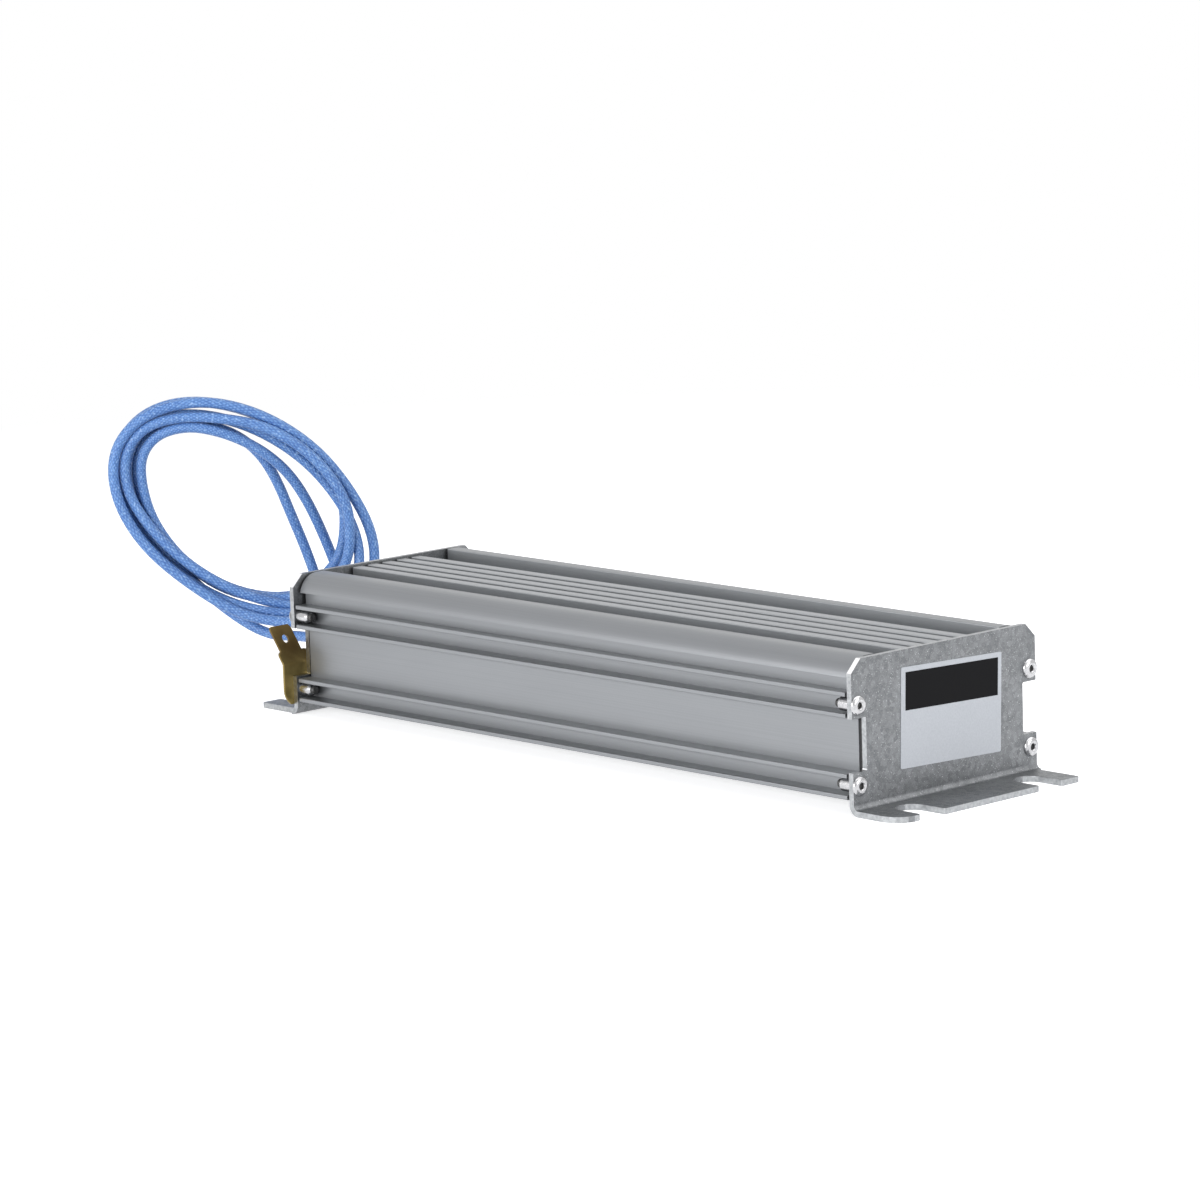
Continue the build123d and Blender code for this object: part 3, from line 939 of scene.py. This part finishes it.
@dataclass(frozen=True)
class Viewpoint:
    """The camera of the photograph, recovered from the object's edges, in metres and degrees."""

    place: Point = (1.278206, -1.208404, 0.350298)
    azimuth: float = 47.136
    elevation: float = 9.653
    roll: float = -1.824
    lens: float = 154.24
    sensor: float = 36.0
    reach: float = 50.0

    def build(self) -> bpy.types.Object:
        """Make the camera and use it.

        Returns:
            The camera's object.
        """
        az, el, ro = (math.radians(v) for v in (self.azimuth, self.elevation, self.roll))
        ahead = Vector((-math.sin(az) * math.cos(el), math.cos(az) * math.cos(el), -math.sin(el)))
        level = Vector((math.cos(az), math.sin(az), 0.0))
        upright = level.cross(ahead)
        right = level * math.cos(ro) + upright * math.sin(ro)
        up = right.cross(ahead)
        data = bpy.data.cameras.new("viewpoint")
        data.sensor_fit = "HORIZONTAL"
        data.sensor_width = self.sensor
        data.lens = self.lens
        data.clip_end = self.reach
        camera = bpy.data.objects.new("viewpoint", data)
        turned = Matrix((right, up, -ahead)).transposed().to_4x4()
        camera.matrix_world = Matrix.Translation(self.place) @ turned
        bpy.context.collection.objects.link(camera)
        bpy.context.scene.camera = camera
        return camera


@dataclass(frozen=True)
class SoftBox:
    """One rectangular area light, in metres and watts."""

    name: str
    place: Point
    aim: Point
    size: Pair
    power: float

    def build(self) -> bpy.types.Object:
        """Make the light.

        Returns:
            The light's object.
        """
        data = bpy.data.lights.new(self.name, "AREA")
        data.shape = "RECTANGLE"
        data.size, data.size_y = self.size
        data.energy = self.power
        lamp = bpy.data.objects.new(self.name, data)
        lamp.location = self.place
        lamp.rotation_mode = "QUATERNION"
        lamp.rotation_quaternion = (Vector(self.aim) - Vector(self.place)).to_track_quat("-Z", "Y")
        bpy.context.collection.objects.link(lamp)
        return lamp


@dataclass(frozen=True)
class Studio:
    """Pale floor, white surround and soft light."""

    boxes: tuple[SoftBox, ...] = (
        SoftBox("left_box", (0.00, -1.70, 0.40), (0.0, 0.0, 0.03), (2.4, 0.7), 32.0),
        SoftBox("right_box", (1.70, 0.30, 0.70), (0.0, 0.0, 0.03), (1.2, 1.0), 13.0),
        SoftBox("top_box", (0.40, 0.60, 2.00), (0.0, 0.0, 0.0), (2.6, 2.6), 24.0),
    )
    floor_size: float = 16.0
    floor_light: Point = (0.94, 0.94, 0.945)
    floor_dark: Point = (0.92, 0.92, 0.925)
    floor_scale: float = 60.0
    floor_roughness: float = 0.9
    floor_glow: float = 0.62
    fade: Pair = (0.45, 0.95)  # the floor turns plain white between these distances
    white: tuple[float, ...] = (1.0, 1.0, 1.0, 1.0)
    ambient: tuple[float, ...] = (0.34, 0.35, 0.36, 1.0)

    def build(self) -> None:
        """Make the floor, the surround and the lights."""
        self.floor()
        self.surround()
        for box in self.boxes:
            box.build()
        bpy.context.scene.view_settings.view_transform = "Standard"

    def floor(self) -> None:
        """Make the floor, whiter to the camera than in the light that it gives the object."""
        bpy.ops.mesh.primitive_plane_add(size=self.floor_size, location=(0.0, 0.0, 0.0))
        plane = bpy.context.active_object
        plane.name = "floor"
        g = MaterialGraph("floor_white")
        speckle = g.noise(g.where(), self.floor_scale, detail=2.0)
        color = g.blend(speckle, self.floor_dark, self.floor_light)
        g.shader.inputs["Specular IOR Level"].default_value = 0.0
        g.finish(0.0, self.floor_roughness, color)
        seen = self.seen(g)
        glow = g.node("Emission", self.white, g.times(seen, self.floor_glow))
        near = g.node("AddShader", g.shader.outputs[0], glow.outputs[0])
        away = g.node("VectorMath", g.where(), operation="LENGTH").outputs["Value"]
        plain = g.node("Emission", self.white, 1.0)
        far = g.times(seen, g.span(away, self.fade))
        mix = g.node("MixShader", far, near.outputs[0], plain.outputs[0])
        g.feed(g.output.inputs["Surface"], mix.outputs[0])
        plane.data.materials.append(g.material)

    def surround(self) -> None:
        """Light the scene from all round, white to the camera and grey to everything else."""
        world = bpy.data.worlds.new("surround")
        bpy.context.scene.world = world
        world.use_nodes = True
        g = Graph(world.node_tree)
        unseen, plain = (g.node("Background", color) for color in (self.ambient, self.white))
        mix = g.node("MixShader", self.seen(g), unseen.outputs[0], plain.outputs[0])
        g.node("OutputWorld", mix.outputs[0])

    @staticmethod
    def seen(g: Graph) -> Socket:
        """Mark the rays that show the background itself, in a mirror or through glass too.

        Args:
            g: The graph of the floor or the world.

        Returns:
            1 for such a ray, else 0.
        """
        path = g.node("LightPath").outputs
        direct = g.math("MAXIMUM", path["Is Camera Ray"], path["Is Glossy Ray"])
        return g.math("MAXIMUM", direct, path["Is Transmission Ray"])


def main() -> None:
    """Make the whole scene and write how big it is."""
    Viewpoint().build()
    coil = Coil()
    replaced: set[str] = set()
    for lead in LEADS:
        lead.build(coil)
        replaced.update(lead.stands_for())
    Finishes().dress(replaced)
    Studio().build()


if __name__ == "__main__":
    main()
